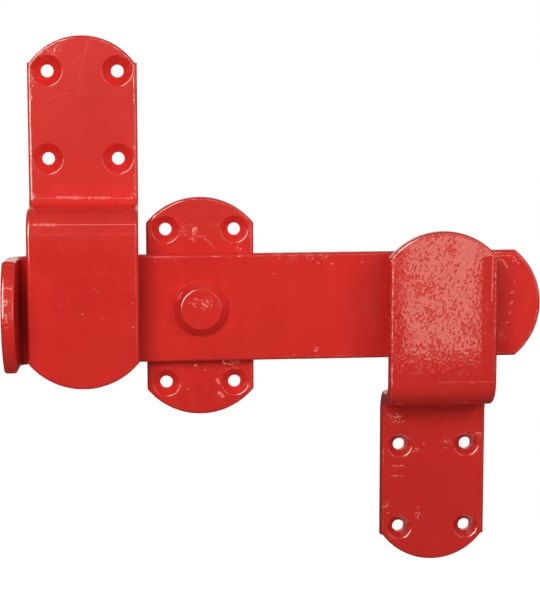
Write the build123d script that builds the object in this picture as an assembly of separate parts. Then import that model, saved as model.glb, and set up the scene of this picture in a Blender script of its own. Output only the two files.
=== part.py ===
from build123d import *
import math
import os

# Kickover stable latch, in the three pieces that are screwed to a door and its frame.
# A pivot plate carries a flat bar on a rivet. The bar's long end drops into the right
# keep from above, and its tail rises into the left keep from below. The tail is turned
# forward into a flange for a boot. Kicking the flange down swings the bar up past the
# vertical, where it leans on the left keep and stays open.
# +X is to the right, +Z is up and -Y points out of the wall, which is the plane Y = 0.
# The origin lies on the pivot axis in that plane. All sizes are in millimetres.

# Flat bar stock that the bar, the plate and both keeps are cut from
strip_width = 50.0
strip_thickness = 6.0
strip_edge_round = 1.6
bend_inner_radius = 6.0

# Cropped ends: arcs whose radius is a share of the strip's width. The keeps' screw plates are cropped
# tighter and keep a small square shoulder each side
end_roundness = 0.64
screw_plate_end_roundness = 0.59
screw_plate_end_shoulder = 1.0
end_edge_round = 1.4
die_half_angle = 75.0

# Screw holes, the flat lands left round their heads, and how deep each piece was countersunk at 90 degrees
screw_hole_radius = 2.9
screw_head_radius = 7.0
screw_side_land = 2.0
screw_end_land = 1.6
plate_sink_depth = 3.4
left_keep_sink_depth = 4.1
right_keep_sink_depth = 2.9
sink_edge_round = 1.0

# How far the rounding tools stand proud of a face, so that they meet it at a shallow angle
tool_lead = 0.05

# Pivot plate
plate_length = 102.0

# Bar, measured from the pivot, and the angle that its long end stands above level
bar_long_end = 160.0
bar_tail = 88.4
flange_height = 43.5
bar_rest_tilt = 0.35

# Keep: a strip folded twice, with its screw plate on the wall and its tongue in front of the bar
keep_plate_end = 36.0
keep_screws_to_fold = 21.8
tongue_overhang = 9.6
tongue_clearance = 11.9

# Where the keeps sit round the bar
tail_clearance = 4.0
bar_end_reach = 24.3
head_room = 16.1
foot_room = 14.8

# Pivot: the rivet is fast in the plate, and the bar turns on its shank
shank_radius = 6.0
rivet_fit = 0.05
pivot_running_fit = 0.08
pivot_end_play = 0.1
head_radius = 12.7
head_top_radius = 9.3
head_rim = 1.2
head_height = 5.8
head_edge_round = 0.7
tail_radius = 8.6
tail_depth = 2.6

# Sizes that follow from the strip
bend_mid_radius = bend_inner_radius + strip_thickness / 2
end_radius = strip_width * end_roundness
screw_plate_end_radius = strip_width * screw_plate_end_roundness
screw_spacing_across = strip_width - 2 * (screw_head_radius + screw_side_land)
overrun = strip_width

# Places that follow from the bar's seat on its plate
bar_back = strip_thickness + pivot_end_play
bar_front = bar_back + strip_thickness
flange_tip = bar_back + flange_height
head_seat = bar_front + pivot_end_play
keep_projection = bar_front + tongue_clearance + strip_thickness


def screw_rows_apart(strip_end, arc_radius):
    """Whole millimetres between two rows of screws that leave the named land inside a cropped end."""
    reach = arc_radius - screw_end_land - screw_head_radius
    row = strip_end - arc_radius + math.sqrt(reach**2 - (screw_spacing_across / 2) ** 2)
    return round(2 * row)


plate_screw_spacing = screw_rows_apart(plate_length / 2, end_radius)
keep_screw_spacing = screw_rows_apart(keep_plate_end, screw_plate_end_radius)
keep_fold_below_screws = keep_screw_spacing / 2 + keep_screws_to_fold
keep_pocket_end = keep_fold_below_screws + strip_thickness
keep_tongue_end = keep_pocket_end + head_room + strip_width + tongue_overhang
left_keep_x = strip_width / 2 + tail_clearance + strip_thickness - bar_tail
left_keep_z = strip_width / 2 + head_room + keep_pocket_end
right_keep_x = bar_long_end - bar_end_reach - strip_width / 2
right_keep_z = -(strip_width / 2 + foot_room + keep_pocket_end)


def strip_along(points):
    """Flat bar with rolled edges that follows a folded middle line in a plane square to its width."""
    path = FilletPolyline(*points, radius=bend_mid_radius) if len(points) > 2 else Line(*points)
    across = path @ 0
    heading = path % 0
    width_direction = Vector(0, 0, 1) if abs(heading.Z) < 0.5 else Vector(1, 0, 0)
    section_plane = Plane(origin=across, x_dir=width_direction, z_dir=heading)
    section = section_plane * RectangleRounded(strip_width, strip_thickness, strip_edge_round)
    return sweep(section, path=path)


def cropped(strip, tip, outward, face_normal, radius=end_radius, shoulder=0.0):
    """Strip cropped round by a die whose arc reaches as far as tip and softens both of its rims."""
    centre = tip - outward * radius
    die_axis = Axis(centre, face_normal)
    die_start = outward.rotate(Axis((0, 0, 0), face_normal), -die_half_angle)
    section_plane = Plane(origin=centre, x_dir=die_start, z_dir=die_start.cross(face_normal))
    section = Pos(radius - end_edge_round + overrun, 0) * Rectangle(2 * overrun, 4 * strip_thickness)
    kept_height = strip_thickness + 2 * tool_lead
    section -= Pos(radius - overrun / 2, 0) * RectangleRounded(overrun, kept_height, end_edge_round)
    die = revolve(section_plane * section, die_axis, 2 * die_half_angle)
    if shoulder:
        across = strip_width / 2 - shoulder
        rise = radius - math.sqrt(radius**2 - across**2)
        end_plane = Plane(origin=tip, x_dir=outward.cross(face_normal), z_dir=face_normal)
        arc_window = Rectangle(2 * across, 6 * overrun)
        beside_arc = Pos(0, (overrun - rise) / 2) * Rectangle(2 * strip_width, overrun + rise) - arc_window
        die &= extrude(end_plane * arc_window, 2 * strip_thickness, both=True)
        die += extrude(end_plane * beside_arc, 2 * strip_thickness, both=True)
    return strip - die


def countersunk(strip, spacing_up, sink_depth):
    """Strip with four screw holes about the origin, countersunk from the front with softened rims."""
    rim_radius = screw_hole_radius + sink_depth + tool_lead
    mouth_radius = rim_radius + 2 * sink_edge_round
    top = strip_thickness + tool_lead
    half_section = Polyline(
        (0, -overrun),
        (screw_hole_radius, -overrun),
        (screw_hole_radius, strip_thickness - sink_depth),
        (rim_radius, top),
        (mouth_radius, top),
        (mouth_radius, top + overrun),
        (0, top + overrun),
        close=True,
    )
    profile = make_face(half_section)
    lip = profile.vertices().sort_by_distance((rim_radius, top, 0))[0]
    cutter = mirror(revolve(fillet(lip, sink_edge_round), Axis.Y), about=Plane.XZ)
    for x in (-screw_spacing_across / 2, screw_spacing_across / 2):
        for z in (-spacing_up / 2, spacing_up / 2):
            strip -= Pos(x, 0, z) * cutter
    return strip


def make_pivot_plate():
    """Back plate with four screw holes and a hole that the rivet's tail is hammered into from behind."""
    middle = -strip_thickness / 2
    strip = strip_along([(0, middle, -plate_length / 2 - overrun), (0, middle, plate_length / 2 + overrun)])
    for side in (1, -1):
        strip = cropped(strip, Vector(0, middle, side * plate_length / 2), Vector(0, 0, side), Vector(0, -1, 0))
    strip -= Rot(90, 0, 0) * Cylinder(shank_radius + rivet_fit, 4 * strip_thickness)
    tail_seat = Cone(tail_radius + rivet_fit, shank_radius + rivet_fit, tail_depth)
    strip -= Pos(0, -tail_depth / 2, 0) * Rot(90, 0, 0) * tail_seat
    return countersunk(strip, plate_screw_spacing, plate_sink_depth)


def make_keep(sink_depth):
    """Keep about the centre of its screws, with its plate at the top and its tongue hanging in front."""
    wall_line = -strip_thickness / 2
    tongue_line = -(keep_projection - strip_thickness / 2)
    fold_line = -(keep_fold_below_screws + strip_thickness / 2)
    strip = strip_along(
        [
            (0, wall_line, keep_plate_end + overrun),
            (0, wall_line, fold_line),
            (0, tongue_line, fold_line),
            (0, tongue_line, -keep_tongue_end - overrun),
        ]
    )
    screw_plate_tip = Vector(0, wall_line, keep_plate_end)
    tongue_tip = Vector(0, tongue_line, -keep_tongue_end)
    up = Vector(0, 0, 1)
    front = Vector(0, -1, 0)
    strip = cropped(strip, screw_plate_tip, up, front, screw_plate_end_radius, screw_plate_end_shoulder)
    strip = cropped(strip, tongue_tip, -up, front)
    return countersunk(strip, keep_screw_spacing, sink_depth)


def make_latch_bar():
    """Bar with a pivot hole, a cropped long end and a tail folded forward into the kick flange."""
    bar_line = -(bar_back + strip_thickness / 2)
    flange_line = -(bar_tail - strip_thickness / 2)
    strip = strip_along(
        [
            (bar_long_end + overrun, bar_line, 0),
            (flange_line, bar_line, 0),
            (flange_line, -flange_tip - overrun, 0),
        ]
    )
    strip = cropped(strip, Vector(bar_long_end, bar_line, 0), Vector(1, 0, 0), Vector(0, -1, 0))
    strip = cropped(strip, Vector(flange_line, -flange_tip, 0), Vector(0, -1, 0), Vector(1, 0, 0))
    pivot_hole = Cylinder(shank_radius + pivot_running_fit, 4 * strip_thickness)
    return strip - Pos(0, bar_line, 0) * Rot(90, 0, 0) * pivot_hole


def make_pivot_rivet():
    """Rivet with a bevelled front head and a tail hammered out flush with the back of the plate."""
    head_front = head_seat + head_height
    half_section = Polyline(
        (0, 0),
        (tail_radius, 0),
        (shank_radius, tail_depth),
        (shank_radius, head_seat),
        (head_radius, head_seat),
        (head_radius, head_seat + head_rim),
        (head_top_radius, head_front),
        (0, head_front),
        close=True,
    )
    profile = make_face(half_section)
    soft_corners = [v for v in profile.vertices() if v.Y > head_seat + head_rim / 2 and v.X > head_top_radius / 2]
    profile = fillet(soft_corners, head_edge_round)
    rivet = revolve(profile, Axis.Y)
    return mirror(rivet, about=Plane.XZ)


parts = {
    "pivot_plate": make_pivot_plate(),
    "pivot_rivet": make_pivot_rivet(),
    "latch_bar": Rot(0, -bar_rest_tilt, 0) * make_latch_bar(),
    "left_keep": Pos(left_keep_x, 0, left_keep_z) * make_keep(left_keep_sink_depth),
    "right_keep": Pos(right_keep_x, 0, right_keep_z) * Rot(0, 180, 0) * make_keep(right_keep_sink_depth),
}

os.makedirs("parts", exist_ok=True)
for name, shape in parts.items():
    export_step(shape, f"parts/{name}.step")
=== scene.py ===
import math

import bpy
from mathutils import Matrix, Vector

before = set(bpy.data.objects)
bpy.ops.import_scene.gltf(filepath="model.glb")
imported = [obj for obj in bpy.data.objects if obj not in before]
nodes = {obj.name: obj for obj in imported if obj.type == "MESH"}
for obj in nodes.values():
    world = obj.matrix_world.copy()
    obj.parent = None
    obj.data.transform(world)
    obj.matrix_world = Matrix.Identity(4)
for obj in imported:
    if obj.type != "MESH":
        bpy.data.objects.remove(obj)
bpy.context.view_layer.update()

MM_PER_M = 1000.0
WHITE = (1.0, 1.0, 1.0, 1.0)


class Tree:
    """The node tree of a material or of the world, with short ways to add the nodes used here."""

    def __init__(self, owner):
        owner.use_nodes = True
        self.nodes = owner.node_tree.nodes
        self.links = owner.node_tree.links
        self.nodes.clear()

    def put(self, socket, value):
        if isinstance(value, bpy.types.NodeSocket):
            self.links.new(value, socket)
        else:
            socket.default_value = value

    def add(self, kind, *values, **settings):
        """A node with its settings made, and its inputs filled from the first one on."""
        node = self.nodes.new("ShaderNode" + kind)
        for name, setting in settings.items():
            setattr(node, name, setting)
        for socket, value in zip(node.inputs, values):
            self.put(socket, value)
        return node

    def math(self, operation, *values, clamp=False):
        return self.add("Math", *values, operation=operation, use_clamp=clamp).outputs[0]

    def vector(self, operation, *values):
        node = self.add("VectorMath", *values, operation=operation)
        gives_number = operation in ("LENGTH", "DISTANCE", "DOT_PRODUCT")
        return node.outputs["Value" if gives_number else "Vector"]

    def split(self, value):
        return self.add("SeparateXYZ", value).outputs

    def ramp(self, value, low, high, to_low=0.0, to_high=1.0, shape="SMOOTHSTEP"):
        node = self.add("MapRange", value, low, high, to_low, to_high, interpolation_type=shape)
        return node.outputs[0]

    def mix(self, factor, a, b):
        node = self.add("Mix", factor, data_type="RGBA")
        self.put(node.inputs[6], a)
        self.put(node.inputs[7], b)
        return node.outputs[2]

    def union(self, masks):
        total = masks[0]
        for mask in masks[1:]:
            total = self.math("MAXIMUM", total, mask)
        return total


# Colours of the paint: its usual range with a thin and a deep end, painted shade over the right
# keep and in its countersinks, and a pale painted highlight

RED = (0.60, 0.025, 0.018, 1.0)
RED_THIN = (0.62, 0.035, 0.025, 1.0)
RED_DEEP = (0.56, 0.021, 0.016, 1.0)
RED_PAINTED_SHADE = (0.45, 0.022, 0.018, 1.0)
RED_SINK_SHADE = (0.38, 0.018, 0.015, 1.0)
# A pale painted highlight, blended into nibs, edge beads, grit and marks; on the faint scratches it
# is their own paler colour
PALE_HIGHLIGHT = (0.84, 0.28, 0.21, 1.0)

# Its outlines wander by up to half the ragged reach, over the ragged size. The sunk roughness, pit
# and painted shade values are those of the right keep

PAINT_IOR = 1.5
RAGGED_SIZE = 1.25
RAGGED_REACH = 1.8
SWELL = 0.05
PAINTED_SHADE_SHARE = 0.5
SUNK_ROUGHNESS = 0.15
PIT_ROUGHNESS = 0.27
PIT_DEPTH = 0.02
PIT_LEAN = -0.35


class Paint(Tree):
    """Glossy red paint of one piece. All lengths are in millimetres of the part's own frame."""

    def __init__(self, name, roughness=0.06):
        self.material = bpy.data.materials.new(name)
        super().__init__(self.material)
        self.shader = self.add("BsdfPrincipled")
        self.add("OutputMaterial", self.shader.outputs[0])
        self.shader.inputs["IOR"].default_value = PAINT_IOR

        # Place on the part, the front view with its depth dropped, and that view with ragged lines
        start = self.add("TexCoord").outputs
        self.place = self.vector("MULTIPLY", start["Object"], (MM_PER_M, MM_PER_M, MM_PER_M))
        self.across, self.out, self.up = self.split(self.place)
        self.front = self.ramp(self.split(start["Normal"])[1], -0.6, -0.3, 1.0, 0.0)
        self.flat = self.vector("MULTIPLY", self.place, (1.0, 0.0, 1.0))
        wander = self.noise_node(RAGGED_SIZE).outputs["Color"]
        shift = self.vector("SUBTRACT", wander, (0.5, 0.5, 0.5))
        shift = self.vector("MULTIPLY", shift, (RAGGED_REACH, 0.0, RAGGED_REACH))
        self.ragged = self.vector("ADD", self.flat, shift)

        drift = self.ramp(self.noise(38.0, 2.0, 0.55), 0.35, 0.68)
        self.colour = self.mix(drift, RED_DEEP, RED)
        self.blend(self.ramp(self.noise(6.5, 3.0, 0.6), 0.45, 0.75), 0.5, RED_THIN)
        cloudy = self.noise(9.0, 3.0, 0.6)
        self.gloss = self.ramp(cloudy, 0.3, 0.75, roughness * 0.75, roughness * 1.6)

    # Patterns

    def noise_node(self, size, detail=2.0, rough=0.5, warp=0.0, place=None, stretch=(1, 1, 1)):
        where = self.vector("MULTIPLY", place or self.place, tuple(s / size for s in stretch))
        node = self.add("TexNoise", where)
        settings = {"Scale": 1.0, "Detail": detail, "Roughness": rough, "Distortion": warp}
        for name, number in settings.items():
            node.inputs[name].default_value = number
        return node

    def noise(self, *settings):
        return self.noise_node(*settings).outputs[0]

    def specks(self, size, share, radius):
        """Round dust nibs: a share of the cells of the given size holds one each."""
        cell = self.add("TexVoronoi", self.vector("MULTIPLY", self.place, (1 / size,) * 3))
        cell.inputs["Scale"].default_value = 1.0
        draw = self.add("SeparateColor", cell.outputs["Color"]).outputs
        chosen = self.math("LESS_THAN", draw[0], share)
        away = self.math("MULTIPLY", cell.outputs["Distance"], size)
        inside = self.math("SUBTRACT", self.math("MULTIPLY", draw[1], radius), away)
        return self.math("MULTIPLY", self.ramp(inside, 0.0, radius * 0.5), chosen)

    def streak(self, x0, z0, x1, z1, width):
        """A mark from one point of the front view to another, with a ragged outline."""
        along = (x1 - x0, 0.0, z1 - z0)
        length_squared = max(along[0] ** 2 + along[2] ** 2, 0.01)
        offset = self.vector("SUBTRACT", self.ragged, (x0, 0.0, z0))
        reach = self.vector("DOT_PRODUCT", offset, along)
        share = self.math("DIVIDE", reach, length_squared, clamp=True)
        nearest = self.add("VectorMath", along, operation="SCALE")
        self.put(nearest.inputs["Scale"], share)
        miss = self.vector("LENGTH", self.vector("SUBTRACT", offset, nearest.outputs[0]))
        return self.ramp(miss, width * 0.5, width, 1.0, 0.0)

    def dot(self, x, z, radius, core=0.5):
        """A round mark of the front view with a ragged outline, full over a share of its radius."""
        miss = self.vector("DISTANCE", self.ragged, (x, 0.0, z))
        return self.ramp(miss, radius * core, radius, 1.0, 0.0)

    def line(self, distance, at, half_width=0.5):
        """A thin line where a distance has a given value."""
        off = self.math("ABSOLUTE", self.math("SUBTRACT", distance, at))
        return self.ramp(off, half_width * 0.4, half_width, 1.0, 0.0)

    # Changes to the paint

    def blend(self, mask, share, colour=PALE_HIGHLIGHT):
        self.colour = self.mix(self.math("MULTIPLY", mask, share), self.colour, colour)

    def lift(self, mask, height):
        self.height = self.math("MULTIPLY_ADD", mask, height, self.height)

    def add_painted_shade(self):
        """Darken the red with painted shade, most of all in the countersinks, and tell where these
        are.
        """
        # Painted shade over the whole right keep, standing in for the dimmer light at the lower
        # right
        self.colour = self.mix(PAINTED_SHADE_SHARE, self.colour, RED_PAINTED_SHADE)
        # Painted shade in the countersinks, darkening the recesses
        shaded_sink = self.math("MULTIPLY", self.ramp(self.out, -5.4, -4.8), self.front)
        self.colour = self.mix(shaded_sink, self.colour, RED_SINK_SHADE)
        return shaded_sink

    def add_nibs_and_glints(self, amount=1.0):
        nib = self.specks(6.5, 0.16 * amount, 0.55)
        speck = self.specks(3.0, 0.05 * amount, 0.35)
        glinting_spots = self.math("MAXIMUM", nib, speck)
        # The nibs are raised bumps; their pale colour is a painted highlight for the glints off
        # them
        self.blend(glinting_spots, 0.35)
        self.height = self.math("MULTIPLY", glinting_spots, 0.08)

    def add_beads_and_highlights(self, edge_highlights):
        """Beads along the edges, paled as a painted highlight where the rounded edges catch the
        light.
        """
        bead = self.ramp(self.noise(1.6, 2.0, 0.6), 0.42, 0.62)
        patchy = self.ramp(self.noise(9.0, 1.0, 0.5), 0.36, 0.60, 0.15, 1.0)
        highlight_rim = self.math("MULTIPLY", self.union(edge_highlights), self.math("MULTIPLY", bead, patchy))
        highlight_rim = self.math("MULTIPLY", highlight_rim, self.front)
        # Painted highlight: the beads are paled where the edges catch the light
        self.blend(highlight_rim, 0.30)
        self.lift(highlight_rim, 0.12)

    def add_marks(self, height, pale, streaks, dots):
        """Runs, blobs, scratches and lines of one height and paleness, broken up by noise. The
        paleness is painted highlight, except on faint scratches.
        """
        masks = [self.streak(*ends) for ends in streaks] + [self.dot(*spot) for spot in dots]
        broken = self.ramp(self.noise(1.8, 2.0, 0.6), 0.40, 0.60, 0.35, 1.0)
        mask = self.math("MULTIPLY", self.union(masks), self.math("MULTIPLY", broken, self.front))
        self.blend(mask, pale)
        self.lift(mask, height)

    # Gritty paint whose pale grains are a painted highlight, for the sparkles off them
    def add_glinting_grit(self, patches):
        near = self.union([self.dot(*patch, 0.2) for patch in patches])
        grain = self.ramp(self.noise(1.0, 1.0, 0.5), 0.56, 0.66)
        mask = self.math("MULTIPLY", near, self.math("MULTIPLY", grain, self.front))
        self.blend(mask, 0.40)
        self.lift(mask, 0.08)

    def add_pits(self):
        """Small dull pits in the right keep's tongue, but for its top right corner and border."""
        dense = self.ramp(self.noise(9.0, 2.0, 0.5), 0.36, 0.62, -0.06, 0.02)
        rightward = self.ramp(self.across, 114.0, 124.0)
        corner = self.math("MULTIPLY", rightward, self.ramp(self.up, 14.0, 26.0))
        border = self.ramp(self.across, 127.5, 130.0)
        bias = self.math("MULTIPLY_ADD", self.math("MAXIMUM", corner, border), -0.30, dense)
        leaning = self.add("VectorRotate", self.place, rotation_type="Y_AXIS")
        leaning.inputs["Angle"].default_value = PIT_LEAN
        fine = self.noise(1.15, 1.0, 0.6, 0.4, leaning.outputs[0], (1.0, 1.0, 0.65))
        small = self.ramp(self.math("ADD", fine, bias), 0.51, 0.60)
        coarse = self.noise(5.0, 2.0, 0.5, 0.5)
        large = self.ramp(self.math("ADD", coarse, bias), 0.64, 0.70)
        forward = self.ramp(self.out, -28.0, -20.0, 1.0, 0.0)
        on_tongue = self.math("MULTIPLY", forward, self.ramp(self.up, -31.0, -27.0))
        pits = self.math("MULTIPLY", self.math("MAXIMUM", small, large), on_tongue)
        waves = self.math("MULTIPLY", self.ramp(border, 0.0, 1.0, 0.012, 0.003), on_tongue)
        self.lift(self.noise(1.5, 1.0, 0.4), waves)
        self.lift(pits, -PIT_DEPTH)
        self.gloss = self.math("MULTIPLY_ADD", pits, PIT_ROUGHNESS, self.gloss)

    def finish(self, peel):
        """Lay a fine orange peel over slow waves, and hand the paint over."""
        self.lift(self.noise(2.8, 1.0, 0.4), peel)
        self.lift(self.noise(26.0, 1.0, 0.5), SWELL)
        bump = self.add("Bump")
        bump.inputs["Strength"].default_value = 1.0
        bump.inputs["Distance"].default_value = 1.0 / MM_PER_M
        self.put(bump.inputs["Height"], self.height)
        self.put(self.shader.inputs["Base Color"], self.colour)
        self.put(self.shader.inputs["Normal"], bump.outputs[0])
        self.put(self.shader.inputs["Roughness"], self.gloss)
        return self.material


def red_paint(name, marks, glinting_grit, edge_highlights=None, peel=0.006, nibs_and_glints=1.0):
    paint = Paint(name)
    paint.add_nibs_and_glints(nibs_and_glints)
    if edge_highlights:
        paint.add_beads_and_highlights(edge_highlights(paint))
    for group in marks:
        paint.add_marks(*group)
    paint.add_glinting_grit(glinting_grit)
    return paint.finish(peel)


def pitted_paint(name, marks, glinting_grit, edge_highlights, peel):
    """The paint of the right keep: darkened by painted shade, smoother and pitted on the tongue."""
    paint = Paint(name, roughness=0.02)
    shaded_sink = paint.add_painted_shade()
    paint.add_nibs_and_glints()
    paint.add_beads_and_highlights(edge_highlights(paint))
    for group in marks:
        paint.add_marks(*group)
    paint.add_glinting_grit(glinting_grit)
    paint.add_pits()
    paint.gloss = paint.math("MULTIPLY_ADD", shaded_sink, SUNK_ROUGHNESS, paint.gloss)
    return paint.finish(peel)


# Painted highlight lines just inside the edges of each piece in the front view: the long edges, and
# the arcs of the cropped ends

EDGE_LINE = 23.8
ARC_INSET = 1.1
LEFT_KEEP_X = -53.4
RIGHT_KEEP_X = 110.7
END_RADIUS = 32.0
SCREW_PLATE_END_RADIUS = 29.5
BAR_SLOPE = 0.0061
UP = (0.0, 0.0, 1.0)
RIGHT = (1.0, 0.0, 0.0)


def long_edge_highlight(paint, middle, side, distance=None):
    away = paint.math("SUBTRACT", distance or paint.across, middle)
    return paint.line(away, EDGE_LINE * side)


def arc_edge_highlight(paint, x, z, radius, towards):
    """The painted highlight line inside the rim of a cropped end whose arc is centred at x, z, on
    the side that towards points to.
    """
    offset = paint.vector("SUBTRACT", paint.flat, (x, 0.0, z))
    ring = paint.line(paint.vector("LENGTH", offset), radius - ARC_INSET)
    ahead = paint.vector("DOT_PRODUCT", offset, towards)
    return paint.math("MULTIPLY", ring, paint.math("GREATER_THAN", ahead, radius * 0.55))


def left_edge_highlights(paint):
    # Painted highlight lines, fading towards the bottom and weaker on the right side, and on the
    # top arc
    on_plate = paint.ramp(paint.up, 40.0, 60.0, 0.35, 1.0)
    right_side = paint.math("MULTIPLY", long_edge_highlight(paint, LEFT_KEEP_X, 1.0), 0.6)
    sides = paint.union([long_edge_highlight(paint, LEFT_KEEP_X, -1.0), right_side])
    top = arc_edge_highlight(paint, LEFT_KEEP_X, 95.4, SCREW_PLATE_END_RADIUS, UP)
    return [paint.math("MULTIPLY", sides, on_plate), top]


def right_edge_highlights(paint):
    # Painted highlight lines on both sides, fading towards the bottom, and on the top arc
    on_tongue = paint.ramp(paint.up, -60.0, -40.0, 0.35, 1.0)
    sides = paint.union([long_edge_highlight(paint, RIGHT_KEEP_X, side) for side in (-1.0, 1.0)])
    top = arc_edge_highlight(paint, RIGHT_KEEP_X, 3.9, END_RADIUS, UP)
    return [paint.math("MULTIPLY", sides, on_tongue), top]


def plate_edge_highlights(paint):
    # A weak painted highlight line on the right side only, none on the shaded left side, and one on
    # the top arc
    side = paint.math("MULTIPLY", long_edge_highlight(paint, 0.0, 1.0), 0.4)
    return [side, arc_edge_highlight(paint, 0.0, 19.0, END_RADIUS, UP)]


def bar_edge_highlights(paint):
    # Painted highlight lines: full on the top edge, half on the lower edge and on the right end's
    # arc
    level = paint.math("MULTIPLY_ADD", paint.across, -BAR_SLOPE, paint.up)
    below = paint.math("MULTIPLY", long_edge_highlight(paint, 0.0, -1.0, level), 0.5)
    end = paint.math("MULTIPLY", arc_edge_highlight(paint, 128.0, 0.78, END_RADIUS, RIGHT), 0.5)
    return [long_edge_highlight(paint, 0.0, 1.0, level), below, end]


# Marks of each piece in groups of one height and paleness: streaks as x, z, x, z and width, then
# dots as x, z and radius. Some streaks are painted highlight lines along bends and edges

left_marks = [
    # Painted highlight lines along the two bends of the fold
    (0.05, 0.30, [
        (-65.1, 51.2, -53.0, 51.0, 0.5), (-51.0, 51.0, -40.9, 50.9, 0.5),
        (-74.0, 40.2, -66.0, 40.0, 0.6),
    ], []),
    (0.0, 0.14, [
        (-50.4, 122.7, -54.9, 104.2, 0.30), (-71.2, 95.1, -59.8, 98.8, 0.28),
        (-63.6, 31.5, -61.1, 26.6, 0.28), (-49.7, 12.5, -45.8, 8.9, 0.40),
        (-63.6, 3.6, -59.2, 6.3, 0.35), (-58.0, 111.0, -52.5, 117.0, 0.25),
    ], []),
    (0.08, 0.42, [
        (-76.9, 52.9, -76.0, 51.5, 0.9), (-29.2, 47.8, -29.4, 46.0, 0.7),
        (-77.9, -22.3, -77.7, -21.5, 0.6), (-31.0, 5.0, -31.1, 4.4, 0.25),
        (-73.5, 117.0, -66.0, 121.0, 0.7), (-71.0, 118.0, -64.0, 122.0, 0.5),
        (-77.0, 101.0, -76.4, 96.0, 0.6),
    ], [
        (-53.8, -0.1, 0.36), (-36.1, -2.2, 0.32), (-31.1, -6.5, 0.42),
        (-37.6, -25.7, 0.36), (-72.2, -13.4, 0.32),
    ]),
]
plate_marks = [
    (0.05, 0.14, [(-4.6, 31.1, 1.0, 33.0, 0.5), (1.0, 33.0, 6.8, 27.4, 0.45)], []),
    (0.02, 0.12, [(-9.0, 37.4, -1.0, 38.6, 0.3), (1.0, 38.8, 9.0, 38.0, 0.3)], []),
    (0.14, 0.48, [
        (-1.8, 36.0, -2.4, 34.0, 1.1), (8.6, -41.0, 10.6, -42.6, 1.0),
        (7.6, -34.6, 8.7, -36.4, 0.8), (11.0, -26.6, 12.0, -27.2, 0.6),
        (14.2, -26.4, 14.8, -26.2, 0.5), (17.2, -26.0, 17.9, -26.6, 0.5),
        (-2.6, -27.7, -1.6, -28.0, 0.5),
    ], [(2.1, -30.2, 0.50)]),
]
rivet_marks = [
    (0.10, 0.45, [
        (-2.4, 4.6, 0.4, 4.0, 0.5), (0.6, 2.6, 2.4, 1.4, 0.5), (0.0, 0.6, 1.4, 0.0, 0.35),
        (2.8, 3.6, 3.4, 2.6, 0.35), (-5.8, 2.4, -5.4, 3.0, 0.3), (-10.8, 4.4, -8.6, 7.6, 0.4),
    ], []),
]
bar_marks = [
    (0.08, 0.45, [(53.2, -20.8, 54.4, -19.6, 0.5)], [
        (33.8, 15.5, 0.53), (54.8, 20.4, 0.57), (61.2, 19.9, 0.50), (75.3, 20.8, 0.63),
        (35.1, -17.3, 0.50), (43.5, -22.6, 0.45),
    ]),
    (0.08, 0.35, [
        (147.0, 10.4, 148.2, 11.8, 0.26), (146.0, 5.4, 147.2, 6.8, 0.26),
        (145.3, 0.2, 146.5, 1.6, 0.26), (144.5, -4.6, 145.7, -3.2, 0.26),
        (143.5, -9.4, 144.7, -8.0, 0.26), (141.0, -9.0, 141.8, -8.2, 0.26),
        (138.6, 21.6, 141.6, 21.0, 0.5), (141.6, 21.0, 144.0, 18.0, 0.45),
        (147.4, 21.4, 149.6, 19.4, 0.4), (139.0, 23.0, 147.5, 23.2, 0.3),
    ], []),
]
right_marks = [
    (0.10, 0.40, [
        (88.6, -52.6, 90.2, -53.6, 0.6), (92.4, -54.4, 94.8, -54.0, 0.6),
        (95.6, -56.4, 96.8, -56.0, 0.4), (91.5, -77.7, 96.8, -77.8, 0.35),
        (91.5, -82.5, 95.9, -82.6, 0.35), (89.6, -100.6, 90.2, -100.6, 0.4),
        (103.8, -97.9, 103.8, -99.0, 0.4), (103.6, -103.8, 103.9, -102.6, 0.4),
        (128.5, -62.8, 129.3, -63.0, 0.4), (133.0, -62.6, 133.8, -62.8, 0.45),
        (118.0, -65.6, 118.8, -65.9, 0.35),
    ], [(106.1, -67.1, 0.53), (102.7, -69.9, 0.53)]),
    # Painted highlight lines along the tongue's lower bend and along its right edge
    (0.0, 0.16, [(107.7, -33.3, 133.8, -33.6, 0.4)], []),
    (0.02, 0.28, [(133.0, 24.0, 132.8, 4.0, 0.40)], []),
]

# Patches of gritty paint, as x, z and radius; their pale grains are a painted highlight for
# sparkles

left_glinting_grit = [
    (-66.0, 120.0, 5.5), (-72.0, 116.5, 5.0), (-76.6, 105.0, 4.5), (-77.2, 51.7, 2.2),
    (-31.2, 51.5, 3.0), (-31.0, 110.0, 3.0),
]
plate_glinting_grit = [(-7.7, 34.8, 3.0), (14.6, -28.0, 5.0), (23.1, -38.0, 2.2), (18.6, 27.6, 2.5)]
rivet_glinting_grit = [(3.4, 2.0, 3.2), (-3.0, 2.4, 2.5)]
# The first two patches are a painted highlight on the front end of the flange
bar_glinting_grit = [
    (-86.4, 0.0, 5.0), (-86.0, 7.6, 2.5), (36.0, 23.6, 2.6), (43.0, 23.2, 2.8), (50.5, 23.6, 2.8),
    (57.5, 23.8, 2.6), (54.0, -20.0, 2.0), (142.4, -15.0, 2.5), (144.0, 17.4, 1.8),
    (147.6, 21.6, 2.2),
]
right_glinting_grit = [
    (92.5, -55.0, 5.0), (102.0, -70.1, 2.5), (88.8, -96.6, 3.0), (103.8, -101.9, 3.0),
    (117.0, -67.4, 3.5), (132.9, -62.8, 2.5),
]

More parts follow.
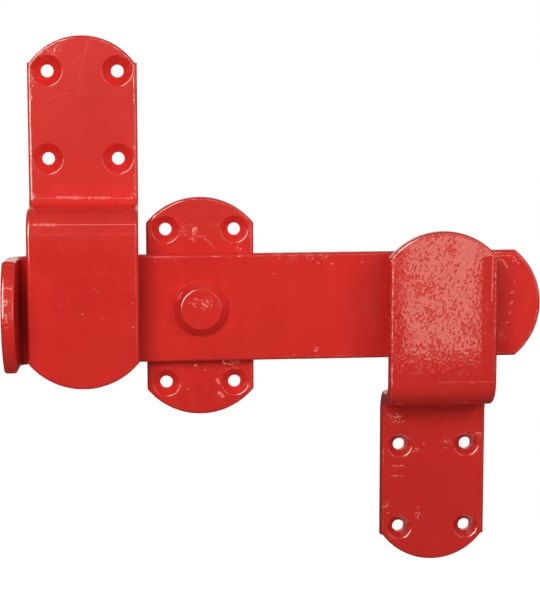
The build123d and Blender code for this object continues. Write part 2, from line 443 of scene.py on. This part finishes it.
paints = {
    "pivot_plate": red_paint("pivot_plate_red", plate_marks, plate_glinting_grit, plate_edge_highlights, 0.012, 1.6),
    "pivot_rivet": red_paint("pivot_rivet_red", rivet_marks, rivet_glinting_grit, peel=0.010, nibs_and_glints=1.6),
    "latch_bar": red_paint("latch_bar_red", bar_marks, bar_glinting_grit, bar_edge_highlights, nibs_and_glints=0.9),
    "left_keep": red_paint("left_keep_red", left_marks, left_glinting_grit, left_edge_highlights),
    "right_keep": pitted_paint("right_keep_red", right_marks, right_glinting_grit, right_edge_highlights, 0.008),
}
for node, material in paints.items():
    for slot in nodes[node].material_slots:
        slot.material = material


# Floor well below the part: white to the camera, nearly dark in the paint, with the part's shadow

FLOOR_HALF = 6.0
FLOOR_Z = -0.42
FLOOR_GREY = (0.55, 0.55, 0.55, 1.0)
FLOOR_GLOW = 0.9
FLOOR_MIRRORED = 0.06

corners = [(x * FLOOR_HALF, y * FLOOR_HALF, 0) for x, y in ((-1, -1), (1, -1), (1, 1), (-1, 1))]
floor_mesh = bpy.data.meshes.new("floor")
floor_mesh.from_pydata(corners, [], [(0, 1, 2, 3)])
floor = bpy.data.objects.new("floor", floor_mesh)
floor.location = (0.0, 0.0, FLOOR_Z)
bpy.context.collection.objects.link(floor)
floor_paint = bpy.data.materials.new("floor_white")
ground = Tree(floor_paint)
matt = ground.add("BsdfPrincipled", FLOOR_GREY)
matt.inputs["Roughness"].default_value = 0.9
glow = ground.add("Emission", WHITE, FLOOR_GLOW)
glowing = ground.add("AddShader", matt.outputs[0], glow.outputs[0])
mirrored = ground.add("Emission", WHITE, FLOOR_MIRRORED)
ray = ground.add("LightPath").outputs
plain = ground.add("MixShader", ray["Is Camera Ray"], matt.outputs[0], glowing.outputs[0])
shown = ground.add("MixShader", ray["Is Glossy Ray"], plain.outputs[0], mirrored.outputs[0])
ground.add("OutputMaterial", shown.outputs[0])
floor_mesh.materials.append(floor_paint)


# World: white to the camera, a weak plain fill as light, and in the paint's reflections dark ahead
# and below, lighter upward, with a glow from each side

WORLD_FILL = 0.035
MIRROR_TINT = (1.0, 0.90, 0.80, 1.0)

world = bpy.data.worlds.new("studio")
bpy.context.scene.world = world
sky = Tree(world)
ray = sky.add("LightPath").outputs
seen = sky.math("MAXIMUM", ray["Is Camera Ray"], ray["Is Transmission Ray"])
towards_x, towards_y, towards_z = sky.split(sky.add("TexCoord").outputs["Generated"])


def level(value, low, high, to_low=0.0, to_high=1.0):
    return sky.ramp(value, low, high, to_low, to_high, "LINEAR")


def product(*levels):
    total = levels[0]
    for factor in levels[1:]:
        total = sky.math("MULTIPLY", total, factor)
    return total


near_level = level(towards_z, -0.14, 0.06, 0.05, 0.65)
in_front = product(near_level, level(towards_z, 0.08, 0.2, 1.0, 0.35))
left_side = product(level(towards_x, -0.15, -0.08, 1.0, 0.0), level(towards_z, -0.20, -0.18))
open_side = sky.math("MAXIMUM", level(towards_z, 0.02, 0.10), left_side)
beside = product(level(towards_y, 0.5, 0.9), open_side)
upward = product(level(towards_z, -0.35, 0.0), level(towards_y, -0.6, -0.35, 1.0, 0.0))
left_end = level(towards_x, -0.85, -0.7, 0.1, 1.0)
left_glow = product(level(towards_x, -0.24, -0.14, 22.0, 0.0), upward, left_end)
right_glow = product(level(towards_x, 0.3, 0.55, 0.0, 4.0), upward)
reflected = sky.union([left_glow, right_glow, in_front, beside])
tint = sky.mix(seen, MIRROR_TINT, WHITE)
backdrop = sky.add("Background", tint, sky.math("MAXIMUM", seen, reflected))
fill = sky.add("Background", WHITE, WORLD_FILL)
not_light = sky.math("MAXIMUM", seen, ray["Is Glossy Ray"])
surroundings = sky.add("MixShader", not_light, fill.outputs[0], backdrop.outputs[0])
sky.add("OutputWorld", surroundings.outputs[0])


# Lamps. The strip and the two cards show in the paint: the strip in its edges and bends, and the
# cards in the tongue of the right keep. The other lamps only light

CARD_TINT = (1.0, 0.84, 0.70)


def lamp(name, place, aim, width, height, watts, colour=(1.0, 1.0, 1.0), glossy=False):
    light = bpy.data.lights.new(name, "AREA")
    light.shape = "RECTANGLE"
    light.size = width
    light.size_y = height
    light.energy = watts
    light.color = colour
    item = bpy.data.objects.new(name, light)
    item.location = place
    item.rotation_euler = (Vector(aim) - Vector(place)).to_track_quat("-Z", "Y").to_euler()
    item.visible_camera = False
    item.visible_glossy = glossy
    bpy.context.collection.objects.link(item)


def card(name, x, z, width, height, watts):
    lamp(name, (x, -1.0, z), (x, 0.0, z), width, height, watts, CARD_TINT, glossy=True)


lamp("key", (-0.27, -0.79, 0.38), (-0.1, 0.0, 0.12), 0.40, 0.40, 5.8)
lamp("right_box", (0.42, -0.42, 0.25), (0.1, 0.0, 0.02), 0.15, 0.25, 1.1)
lamp("right_low", (0.40, -0.80, 0.05), (0.1, 0.0, 0.02), 0.20, 0.30, 1.0)
lamp("back_box", (0.10, 0.90, 0.35), (0.0, 0.0, 0.0), 0.50, 0.40, 4.5)
lamp("top_strip", (0.0, -0.75, 0.75), (0.0, 0.0, 0.02), 1.0, 0.03, 0.7, glossy=True)
card("tongue_card", 0.298, -0.0955, 0.0860, 0.151, 0.172)
card("corner_card", 0.355, -0.042, 0.020, 0.032, 0.008)


# Camera: place, aim and lens fitted to the photograph's screw holes and edges

CAMERA_PLACE = (-0.02387, -0.71905, 0.08402)
YAW, PITCH, ROLL = 0.0791, -0.11322, -0.00086
FOCAL_PIXELS = 1536.4
PHOTO_HEIGHT_PIXELS = 600.0
SENSOR_HEIGHT = 36.0

ahead = Vector((math.sin(YAW), math.cos(YAW), 0.0))
forward = math.cos(PITCH) * ahead + math.sin(PITCH) * Vector((0.0, 0.0, 1.0))
level_right = Vector((math.cos(YAW), -math.sin(YAW), 0.0))
level_up = level_right.cross(forward)
right = math.cos(ROLL) * level_right + math.sin(ROLL) * level_up
up = math.cos(ROLL) * level_up - math.sin(ROLL) * level_right
view = bpy.data.cameras.new("view")
view.sensor_fit = "VERTICAL"
view.sensor_height = SENSOR_HEIGHT
view.lens = FOCAL_PIXELS * SENSOR_HEIGHT / PHOTO_HEIGHT_PIXELS
view.clip_start = 0.01
view.clip_end = 50.0
camera = bpy.data.objects.new("view", view)
turn = Matrix((right, up, -forward)).transposed().to_4x4()
camera.matrix_world = Matrix.Translation(CAMERA_PLACE) @ turn
bpy.context.collection.objects.link(camera)
bpy.context.scene.camera = camera

bpy.context.scene.view_settings.view_transform = "Standard"
